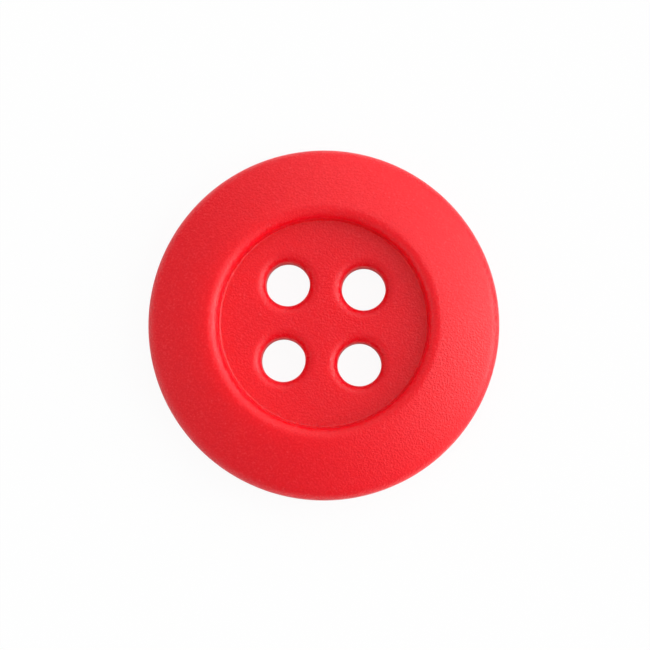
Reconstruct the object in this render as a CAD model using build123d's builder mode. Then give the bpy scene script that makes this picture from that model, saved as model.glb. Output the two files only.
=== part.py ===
"""Four-hole sewing button with a broad sloping rim, a rolled lip and a sunken well.

The button is moulded in one piece and lies face up on its back. Millimetres, +Z up, with the
origin in the middle of the back and the four thread holes lined up with X and Y.
"""

import os
from math import asin, atan2, cos, degrees, hypot, radians, sin, tan

from build123d import *

# Sizes of the whole button: 32 ligne across
button_diameter = 20.32
floor_thickness = 2.0
well_depth = 1.0

# Rolled lip round the well, from its crest down to the flat floor
lip_diameter = 13.3
lip_radius = 0.6
wall_slope = 78.0
floor_fillet = 0.15

# Sloping rim, whose slope grows by the bend from the lip to the edge
rim_bend = 8.0
edge_height = 1.334
edge_radius = 0.65

# Straight flank, and the back that rises from a flat middle to a smaller rounding under it
flank_height = 0.4
back_flat_diameter = 12.0
back_edge_radius = 0.45

# Thread holes
hole_diameter = 2.54
hole_pitch = 4.39
hole_mouth_radius = 0.58
hole_exit_radius = 0.2


def slope_point(centre, radius, slope):
    """The point of a circle where its tangent falls outwards at this slope, in degrees."""
    return centre + Vector(sin(radians(slope)), cos(radians(slope))) * radius


# Well, lip and floor, in the plane of radius and height
outer = button_diameter / 2
lip_centre = Vector(lip_diameter / 2, floor_thickness + well_depth - lip_radius)
wall_top = slope_point(lip_centre, lip_radius, -wall_slope)
wall_foot_height = floor_thickness + floor_fillet * (1 - cos(radians(wall_slope)))
wall_run = (wall_top.Y - wall_foot_height) / tan(radians(wall_slope))
wall_foot = Vector(wall_top.X - wall_run, wall_foot_height)
floor_end = wall_foot.X - floor_fillet * sin(radians(wall_slope))

# Rim, an arc that touches the roundings of lip and edge
edge_centre = Vector(outer - edge_radius, edge_height)
rim_run = edge_centre.X - lip_centre.X
rim_fall = lip_centre.Y - edge_centre.Y
radius_share = (lip_radius - edge_radius) * cos(radians(rim_bend / 2)) / hypot(rim_run, rim_fall)
rim_slope = degrees(atan2(rim_fall, rim_run) + asin(radius_share))
rim_start = slope_point(lip_centre, lip_radius, rim_slope - rim_bend / 2)
rim_end = slope_point(edge_centre, edge_radius, rim_slope + rim_bend / 2)
edge_top = Vector(outer, edge_height)

# Back, an arc that touches the flat middle and the rounding under the flank
back_flat = back_flat_diameter / 2
heel_centre = Vector(outer - back_edge_radius, edge_height - flank_height)
back_slope = 2 * degrees(atan2(heel_centre.Y - back_edge_radius, heel_centre.X - back_flat))
back_end = slope_point(heel_centre, back_edge_radius, 180 - back_slope)
edge_bottom = Vector(outer, heel_centre.Y)

# Button
with BuildPart() as button:
    with BuildSketch(Plane.XZ):
        with BuildLine():
            floor = Line((0, floor_thickness), (floor_end, floor_thickness))
            foot = TangentArc(floor @ 1, wall_foot, tangent=floor % 1)
            wall = Line(foot @ 1, wall_top)
            lip = TangentArc(wall @ 1, rim_start, tangent=wall % 1)
            rim = TangentArc(lip @ 1, rim_end, tangent=lip % 1)
            shoulder = TangentArc(rim @ 1, edge_top, tangent=rim % 1)
            flank = Line(shoulder @ 1, edge_bottom)
            heel = TangentArc(flank @ 1, back_end, tangent=flank % 1)
            back_curve = TangentArc(heel @ 1, (back_flat, 0), tangent=heel % 1)
            Polyline(back_curve @ 1, (0, 0), floor @ 0)
        make_face()
    revolve(axis=Axis.Z)

    with GridLocations(hole_pitch, hole_pitch, 2, 2):
        Hole(hole_diameter / 2)
    hole_edges = button.edges(Select.LAST).filter_by(GeomType.CIRCLE).group_by(Axis.Z)
    fillet(hole_edges[-1], hole_mouth_radius)
    fillet(hole_edges[0], hole_exit_radius)

button.part.label = "button"

os.makedirs("parts", exist_ok=True)
export_step(button.part, "parts/button.step")
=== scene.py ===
from math import asin, atan2, cos, degrees, hypot, radians, sin, tan

import bpy
from mathutils import Matrix, Vector


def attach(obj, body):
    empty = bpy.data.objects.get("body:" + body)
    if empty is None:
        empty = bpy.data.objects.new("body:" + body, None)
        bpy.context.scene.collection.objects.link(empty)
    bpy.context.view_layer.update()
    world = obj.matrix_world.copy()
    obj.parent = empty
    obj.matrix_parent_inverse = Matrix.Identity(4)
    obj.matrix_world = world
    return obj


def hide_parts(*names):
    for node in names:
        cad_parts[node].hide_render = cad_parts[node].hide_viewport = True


MM = 0.001

# Section of the moulding, in millimetres and degrees. It is the solid's, but the wall of the well is a
# little steeper and the upper edge a little rounder, with the flank placed to suit
BUTTON_DIAMETER = 20.32
FLOOR_THICKNESS = 2.0
WELL_DEPTH = 1.0
LIP_DIAMETER = 13.3
LIP_RADIUS = 0.6
WALL_SLOPE = 86.0
FLOOR_FILLET = 0.15
RIM_BEND = 8.0
EDGE_HEIGHT = 1.203
EDGE_RADIUS = 0.85
FLANK_HEIGHT = 0.27
BACK_FLAT_DIAMETER = 12.0
BACK_EDGE_RADIUS = 0.45
HOLE_DIAMETER = 2.54
HOLE_PITCH = 4.39
HOLE_MOUTH_RADIUS = 0.58
HOLE_EXIT_RADIUS = 0.2

# Fineness of the mesh, with the flat margin beside a rounding and the gap that is welded, in millimetres
TURN_STEPS = 288
HOLE_STEPS = 72
DEGREES_PER_STEP = 4.0
FEWEST_STEPS = 2
BOW_STEPS = 10
ARC_POINTS = 16
FLAT_MARGIN = 0.06
WELD_GAP = 0.0005

# Camera, in millimetres and degrees: its foot and height, its aim, its turn, and how wide and far it sees
CAMERA_FOOT = (3.6, -12.8)
CAMERA_HEIGHT = 158.0
CAMERA_AIM = (0.098, -0.083, 2.0)
CAMERA_TURN = 3.33
VIEW_WIDTH = 37.437
NEAREST_SEEN = 10.0
FARTHEST_SEEN = 20000.0

# Plastic, with the reach of light in it in millimetres and the share of that for red, green and blue
PLASTIC_RED = (0.89, 0.0005, 0.011)
PLASTIC_ROUGHNESS = 0.28
PLASTIC_GLOSS = 0.42
LIGHT_REACH = 2.0
LIGHT_SPREAD = (1.0, 0.2, 0.2)

# Grain of the mould: size and depth in millimetres, then how much painted shade of the grain darkens the
# colour and painted glints of the grain lighten it
GRAIN_SIZE = 0.11
GRAIN_DEPTH = 0.04
GRAIN_DETAIL = 1.0
GRAIN_ROUGHNESS = 0.5
GRAIN_MIDDLE = 0.5
GRAIN_PAINTED_SHADE = 0.22
GRAIN_GLINT_PAINT = 0.0025
GRAIN_GLINT_POWER = 6.0

# Studio light, as soft glows round a direction: strength, azimuth, elevation and tightness
WINDOW = (3.6, 10.0, 25.0, 15.0)
LOW_WINDOW = (6.2, 0.0, 8.0, 60.0)
SIDE_WINDOW = (1.3, 75.0, 36.0, 10.0)
FRONT_GLOW = (1.0, 334.0, 45.0, 26.0)
LOW_GLOW = (0.9, 200.0, 0.0, 8.0)
GLOWS = (WINDOW, LOW_WINDOW, SIDE_WINDOW, FRONT_GLOW, LOW_GLOW)
ROOM_LIGHT = 0.4

# Table top: half its width in metres, its white, the share of its true shading that is seen, and how near
# it has to lie for a glossy surface to mirror that shading, in millimetres
TABLE_HALF = 2.0
TABLE_WHITE = 0.92
PAPER_SHARE = 0.06
MIRROR_REACH = 5.0


class Socket:
    """A node's output that takes part in Python sums."""

    def __init__(self, tree, output):
        self.tree = tree
        self.output = output

    def maths(self, operation, first, second):
        return self.tree.add("ShaderNodeMath", {"operation": operation}, {0: first, 1: second})

    def __add__(self, other):
        return self.maths("ADD", self, other)

    def __sub__(self, other):
        return self.maths("SUBTRACT", self, other)

    def __mul__(self, other):
        return self.maths("MULTIPLY", self, other)

    def __pow__(self, other):
        return self.maths("POWER", self, other)

    def __gt__(self, other):
        return self.maths("GREATER_THAN", self, other)

    def __radd__(self, other):
        return self.maths("ADD", other, self)

    def __rsub__(self, other):
        return self.maths("SUBTRACT", other, self)

    def __rmul__(self, other):
        return self.maths("MULTIPLY", other, self)


class Tree:
    """Makes the nodes of one material, world or geometry tree."""

    def __init__(self, tree):
        self.nodes = tree.nodes
        self.links = tree.links
        self.nodes.clear()

    def add(self, kind, settings=None, sockets=None, output=0):
        """A new node with its settings and its sockets' values or links. Gives back one of its outputs."""
        node = self.nodes.new(kind)
        for name, value in (settings or {}).items():
            setattr(node, name, value)
        for key, value in (sockets or {}).items():
            for one in value if isinstance(value, list) else [value]:
                if isinstance(one, Socket):
                    self.links.new(one.output, node.inputs[key])
                else:
                    node.inputs[key].default_value = one
        return Socket(self, node.outputs[output]) if node.outputs else node


def slope_point(centre, radius, slope):
    """The point of a circle where its tangent falls outwards at this slope, in degrees."""
    return centre + Vector((sin(radians(slope)), cos(radians(slope)))) * radius


def arc(centre, radius, first, last, degrees_per_step=DEGREES_PER_STEP):
    """Points of a circle between two outward slopes."""
    steps = max(FEWEST_STEPS, round(abs(last - first) / degrees_per_step))
    return [slope_point(centre, radius, first + (last - first) * i / steps) for i in range(steps + 1)]


def bow(start, end, first, last):
    """Points of the long flat arc that leaves start at one slope and reaches end at another."""
    half_chord = (end - start).length / 2
    radius = half_chord / sin(radians(abs(last - first) / 2))
    centre = start - slope_point(Vector((0, 0)), radius, first)
    return arc(centre, radius, first, last, abs(last - first) / BOW_STEPS)


def well_points():
    """The centre of the rolled lip, the radius of the flat floor and the rounding at the wall's foot."""
    lip_centre = Vector((LIP_DIAMETER / 2, FLOOR_THICKNESS + WELL_DEPTH - LIP_RADIUS))
    wall_top = slope_point(lip_centre, LIP_RADIUS, -WALL_SLOPE)
    foot_height = FLOOR_THICKNESS + FLOOR_FILLET * (1 - cos(radians(WALL_SLOPE)))
    wall_run = (wall_top.y - foot_height) / tan(radians(WALL_SLOPE))
    floor_end = wall_top.x - wall_run - FLOOR_FILLET * sin(radians(WALL_SLOPE))
    foot_centre = Vector((floor_end, FLOOR_THICKNESS + FLOOR_FILLET))
    foot = [2 * foot_centre - p for p in arc(foot_centre, FLOOR_FILLET, 0, -WALL_SLOPE)]
    return lip_centre, floor_end, foot


def section_points():
    """The section from the well's flat floor to the flat of the back, with the radius of each flat."""
    outer = BUTTON_DIAMETER / 2
    lip_centre, floor_end, foot = well_points()

    edge_centre = Vector((outer - EDGE_RADIUS, EDGE_HEIGHT))
    run = edge_centre.x - lip_centre.x
    fall = lip_centre.y - edge_centre.y
    radius_share = (LIP_RADIUS - EDGE_RADIUS) * cos(radians(RIM_BEND / 2)) / hypot(run, fall)
    rim_slope = degrees(atan2(fall, run) + asin(radius_share))
    lip_end = rim_slope - RIM_BEND / 2
    edge_start = rim_slope + RIM_BEND / 2
    lip = arc(lip_centre, LIP_RADIUS, -WALL_SLOPE, lip_end)
    shoulder = arc(edge_centre, EDGE_RADIUS, edge_start, 90)
    rim = bow(lip[-1], shoulder[0], lip_end, edge_start)

    back_flat = BACK_FLAT_DIAMETER / 2
    heel_centre = Vector((outer - BACK_EDGE_RADIUS, EDGE_HEIGHT - FLANK_HEIGHT))
    back_slope = 2 * degrees(atan2(heel_centre.y - BACK_EDGE_RADIUS, heel_centre.x - back_flat))
    heel = arc(heel_centre, BACK_EDGE_RADIUS, 90, 180 - back_slope)
    back = bow(heel[-1], Vector((back_flat, 0)), 180 - back_slope, 180)

    inner_floor = Vector((floor_end - FLAT_MARGIN, FLOOR_THICKNESS))
    inner_back = Vector((back_flat - FLAT_MARGIN, 0))
    chain = [inner_floor, *foot, *lip, *rim[1:], *shoulder[1:], *heel, *back[1:], inner_back]
    return chain, inner_floor.x, inner_back.x


def section_mesh(points):
    """A line of edges through the section's points, with radius along X and height along Y."""
    mesh = bpy.data.meshes.new("section")
    verts = [(p.x * MM, p.y * MM, 0) for p in points]
    mesh.from_pydata(verts, [(i, i + 1) for i in range(len(verts) - 1)], [])
    return mesh


class ShapeTree(Tree):
    """Makes the nodes of a geometry tree, whose named inputs it keeps as given."""

    def __init__(self, group):
        super().__init__(group)
        inputs = self.add("NodeGroupInput").output.node
        self.given = {o.name: Socket(self, o) for o in inputs.outputs if o.name}

    def place(self, x=0.0, y=0.0, z=0.0):
        return self.add("ShaderNodeCombineXYZ", {}, {0: x, 1: y, 2: z})

    def moved(self, shape, x=0.0, y=0.0, z=0.0):
        shift = self.place(x, y, z)
        return self.add("GeometryNodeTransform", {}, {"Geometry": shape, "Translation": shift})

    def joined(self, *shapes):
        return self.add("GeometryNodeJoinGeometry", {}, {0: list(shapes)})

    def run(self, start, end):
        return self.add("GeometryNodeCurvePrimitiveLine", {"mode": "POINTS"}, {"Start": start, "End": end})

    def circle(self, radius, steps):
        size = {"Resolution": steps, "Radius": radius}
        return self.add("GeometryNodeCurvePrimitiveCircle", {"mode": "RADIUS"}, size)

    def quarter(self, radius, x, y, start):
        """A quarter of a circle about x and y, turned back from its start angle."""
        angles = {"Start Angle": radians(start), "Sweep Angle": radians(-90)}
        size = {"Resolution": ARC_POINTS, "Radius": radius}
        shape = self.add("GeometryNodeCurveArc", {"mode": "RADIUS"}, {**size, **angles})
        return self.moved(shape, x=x, y=y)

    def turned(self, profile, steps):
        """The profile, with radius along X and height along Y, carried round the axis."""
        path = self.circle(self.given["Outer Radius"], steps)
        shifted = self.moved(profile, x=-1.0 * self.given["Outer Radius"])
        upright = self.add("GeometryNodeTransform", {}, {"Geometry": shifted, "Scale": (1.0, -1.0, 1.0)})
        return self.add("GeometryNodeCurveToMesh", {}, {"Curve": path, "Profile Curve": upright})

    def at_holes(self, shape):
        """The shape at each of the four holes, on the corners of a square."""
        pitch = self.given["Hole Pitch"]
        square = {"Size X": pitch, "Size Y": pitch, "Vertices X": 2, "Vertices Y": 2}
        corners = self.add("GeometryNodeMeshGrid", {}, square)
        copies = self.add("GeometryNodeInstanceOnPoints", {}, {"Points": corners, "Instance": shape})
        return self.add("GeometryNodeRealizeInstances", {}, {0: copies})


def hole_linings(tree):
    """The walls of the four holes, with the flat margins round both ends."""
    hole, mouth, away = tree.given["Hole Radius"], tree.given["Mouth Radius"], tree.given["Exit Radius"]
    margin, floor = tree.given["Flat Margin"], tree.given["Floor Height"]
    lining = tree.joined(
        tree.run(tree.place(hole + away + margin, 0.0), tree.place(hole + away, 0.0)),
        tree.quarter(away, hole + away, away, 270),
        tree.run(tree.place(hole, away), tree.place(hole, floor - mouth)),
        tree.quarter(mouth, hole + mouth, floor - mouth, 180),
        tree.run(tree.place(hole + mouth, floor), tree.place(hole + mouth + margin, floor)),
    )
    return tree.at_holes(tree.turned(lining, tree.given["Hole Steps"]))


def pierced_flat(tree, outline_radius, rounding, height):
    """A flat disc at this height, open where the holes with their rounding and flat margin are."""
    hole_edge = tree.given["Hole Radius"] + rounding + tree.given["Flat Margin"]
    outline = tree.circle(outline_radius, tree.given["Turn Steps"])
    rings = tree.at_holes(tree.circle(hole_edge, tree.given["Hole Steps"]))
    outlines = tree.joined(outline, rings)
    filled = tree.add("GeometryNodeFillCurve", {"mode": "TRIANGLES"}, {"Curve": outlines})
    return tree.moved(filled, z=height)


def turning_tree(sizes, counts):
    """Geometry Nodes that turn the section about the axis, line four holes and close the two flats."""
    group = bpy.data.node_groups.new("turned and pierced button", "GeometryNodeTree")
    face = group.interface
    face.new_socket("Section", in_out="INPUT", socket_type="NodeSocketGeometry")
    for name in sizes:
        face.new_socket(name, in_out="INPUT", socket_type="NodeSocketFloat")
    for name in counts:
        face.new_socket(name, in_out="INPUT", socket_type="NodeSocketInt")
    face.new_socket("Finish", in_out="INPUT", socket_type="NodeSocketMaterial")
    face.new_socket("Button", in_out="OUTPUT", socket_type="NodeSocketGeometry")

    tree = ShapeTree(group)
    given = tree.given
    section = tree.add("GeometryNodeMeshToCurve", {}, {"Mesh": given["Section"]})
    body = tree.turned(section, given["Turn Steps"])
    linings = hole_linings(tree)
    floor = pierced_flat(tree, given["Flat Floor Radius"], given["Mouth Radius"], given["Floor Height"])
    back = pierced_flat(tree, given["Flat Back Radius"], given["Exit Radius"], 0.0)
    turned_back = tree.add("GeometryNodeFlipFaces", {}, {"Mesh": back})

    whole = tree.joined(body, linings, floor, turned_back)
    closed = tree.add("GeometryNodeMergeByDistance", {}, {"Geometry": whole, "Distance": WELD_GAP * MM})
    smooth = tree.add("GeometryNodeSetShadeSmooth", {}, {"Geometry": closed, "Shade Smooth": True})
    real = tree.add("GeometryNodeRealizeInstances", {}, {0: smooth})
    finished = tree.add("GeometryNodeSetMaterial", {}, {"Geometry": real, "Material": given["Finish"]})
    tree.add("NodeGroupOutput", {}, {"Button": finished})
    return group


def moulded_plastic():
    """Red plastic, coloured through, with the fine matte grain of a spark-eroded mould, its shading and
    glints partly painted into the colour.
    """
    material = bpy.data.materials.new("moulded_red_plastic")
    material.use_nodes = True
    tree = Tree(material.node_tree)
    place = tree.add("ShaderNodeTexCoord", output="Object")
    fineness = 1 / (GRAIN_SIZE * MM)
    grain = tree.add(
        "ShaderNodeTexNoise", {"noise_dimensions": "3D"},
        {"Vector": place, "Scale": fineness, "Detail": GRAIN_DETAIL, "Roughness": GRAIN_ROUGHNESS},
    )
    red, green, blue = PLASTIC_RED
    # Painted glints: green and blue raised in pale specks where the grain is high, standing in for the
    # grain's glints of light
    painted_glint = GRAIN_GLINT_PAINT * (1 / GRAIN_MIDDLE * grain) ** GRAIN_GLINT_POWER
    # Painted shade: red darkened where the grain is low, standing in for the grain's shading; the grain's
    # bumps below are real
    painted_grain_shade = 1.0 - GRAIN_PAINTED_SHADE * (GRAIN_MIDDLE - grain)
    colour = tree.add("ShaderNodeCombineColor", {}, {0: red * painted_grain_shade, 1: green + painted_glint, 2: blue + painted_glint})
    bump = tree.add("ShaderNodeBump", {}, {"Strength": 1.0, "Distance": GRAIN_DEPTH * MM, "Height": grain})
    plastic = tree.add(
        "ShaderNodeBsdfPrincipled", {},
        {
            "Base Color": colour,
            "Roughness": PLASTIC_ROUGHNESS,
            "Specular IOR Level": PLASTIC_GLOSS,
            "Subsurface Weight": 1.0,
            "Subsurface Radius": LIGHT_SPREAD,
            "Subsurface Scale": LIGHT_REACH * MM,
            "Normal": bump,
        },
    )
    tree.add("ShaderNodeOutputMaterial", {}, {"Surface": plastic})
    return material


def white_table():
    """White table top that is seen, and mirrored from afar, as white with a share of its true shading."""
    material = bpy.data.materials.new("white_table_top")
    material.use_nodes = True
    tree = Tree(material.node_tree)

    def ray(fact):
        return tree.add("ShaderNodeLightPath", output=fact)

    far = ray("Ray Length") > MIRROR_REACH * MM
    seen_white = ray("Is Camera Ray") + ray("Is Glossy Ray") * far + ray("Is Transmission Ray")
    paper = tree.add("ShaderNodeBsdfDiffuse", {}, {"Color": (TABLE_WHITE, TABLE_WHITE, TABLE_WHITE, 1.0)})
    white = tree.add("ShaderNodeEmission", {}, {"Color": (1.0, 1.0, 1.0, 1.0), "Strength": 1.0})
    shown = tree.add("ShaderNodeMixShader", {}, {0: PAPER_SHARE, 1: white, 2: paper})
    surface = tree.add("ShaderNodeMixShader", {}, {0: seen_white, 1: paper, 2: shown})
    tree.add("ShaderNodeOutputMaterial", {}, {"Surface": surface})
    return material


def surroundings():
    """World light made of a dim room and soft glows from a few directions."""
    world = bpy.data.worlds.new("studio")
    world.use_nodes = True
    bpy.context.scene.world = world
    tree = Tree(world.node_tree)
    direction = tree.add("ShaderNodeTexCoord", output="Generated")
    light = ROOM_LIGHT
    for strength, azimuth, elevation, tightness in GLOWS:
        a, e = radians(azimuth), radians(elevation)
        towards = (cos(a) * cos(e), sin(a) * cos(e), sin(e))
        cosine = tree.add(
            "ShaderNodeVectorMath", {"operation": "DOT_PRODUCT"}, {0: direction, 1: towards}, output="Value"
        )
        # From 0 opposite the glow to 1 in its middle
        facing = 0.5 + 0.5 * cosine
        light = light + strength * facing ** tightness
    sky = tree.add("ShaderNodeBackground", {}, {"Strength": light})
    tree.add("ShaderNodeOutputWorld", {}, {"Surface": sky})


def camera():
    """Camera high over the button, a little in front of its middle and slightly turned."""
    lens = bpy.data.cameras.new("camera")
    holder = bpy.data.objects.new("camera", lens)
    bpy.context.scene.collection.objects.link(holder)
    location = Vector((*CAMERA_FOOT, CAMERA_HEIGHT)) * MM
    back = (location - Vector(CAMERA_AIM) * MM).normalized()
    turn = radians(CAMERA_TURN)
    right = Vector((-sin(turn), cos(turn), 0)).cross(back).normalized()
    up = back.cross(right)
    holder.matrix_world = Matrix.Translation(location) @ Matrix((right, up, back)).transposed().to_4x4()
    aim_distance = (location - Vector(CAMERA_AIM) * MM).length
    lens.lens = lens.sensor_width * aim_distance / (VIEW_WIDTH * MM)
    lens.clip_start = NEAREST_SEEN * MM
    lens.clip_end = FARTHEST_SEEN * MM
    bpy.context.scene.camera = holder


def table():
    """Table top that the button lies on."""
    mesh = bpy.data.meshes.new("table_top")
    corners = [(x * TABLE_HALF, y * TABLE_HALF, 0) for x, y in ((-1, -1), (1, -1), (1, 1), (-1, 1))]
    mesh.from_pydata(corners, [], [(0, 1, 2, 3)])
    mesh.materials.append(white_table())
    top = bpy.data.objects.new("table_top", mesh)
    bpy.context.scene.collection.objects.link(top)


def moulded_button():
    """The button as one closed, finely stepped mesh."""
    points, floor_radius, back_radius = section_points()
    piece = bpy.data.objects.new("moulded_button", section_mesh(points))
    bpy.context.scene.collection.objects.link(piece)
    sizes = {
        "Outer Radius": BUTTON_DIAMETER / 2 * MM,
        "Flat Floor Radius": floor_radius * MM,
        "Flat Back Radius": back_radius * MM,
        "Floor Height": FLOOR_THICKNESS * MM,
        "Hole Pitch": HOLE_PITCH * MM,
        "Hole Radius": HOLE_DIAMETER / 2 * MM,
        "Mouth Radius": HOLE_MOUTH_RADIUS * MM,
        "Exit Radius": HOLE_EXIT_RADIUS * MM,
        "Flat Margin": FLAT_MARGIN * MM,
    }
    counts = {"Turn Steps": TURN_STEPS, "Hole Steps": HOLE_STEPS}
    modifier = piece.modifiers.new("turning", "NODES")
    modifier.node_group = turning_tree(sizes, counts)
    given = {**sizes, **counts, "Finish": moulded_plastic()}
    for socket in modifier.node_group.interface.items_tree:
        if socket.name in given:
            modifier[socket.identifier] = given[socket.name]
    shape = piece.evaluated_get(bpy.context.evaluated_depsgraph_get())
    mesh = bpy.data.meshes.new_from_object(shape)
    piece.modifiers.clear()
    piece.data = mesh
    return piece


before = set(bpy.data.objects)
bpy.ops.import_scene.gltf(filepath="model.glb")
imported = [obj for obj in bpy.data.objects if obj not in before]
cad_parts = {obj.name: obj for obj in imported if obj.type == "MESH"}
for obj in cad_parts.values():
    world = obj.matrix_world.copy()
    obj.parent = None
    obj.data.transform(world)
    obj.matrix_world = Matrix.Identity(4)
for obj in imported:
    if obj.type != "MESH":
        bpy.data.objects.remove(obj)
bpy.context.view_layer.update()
bpy.context.scene.view_settings.view_transform = "Standard"

camera()
surroundings()
table()

button = moulded_button()
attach(button, "root")
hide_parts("button")
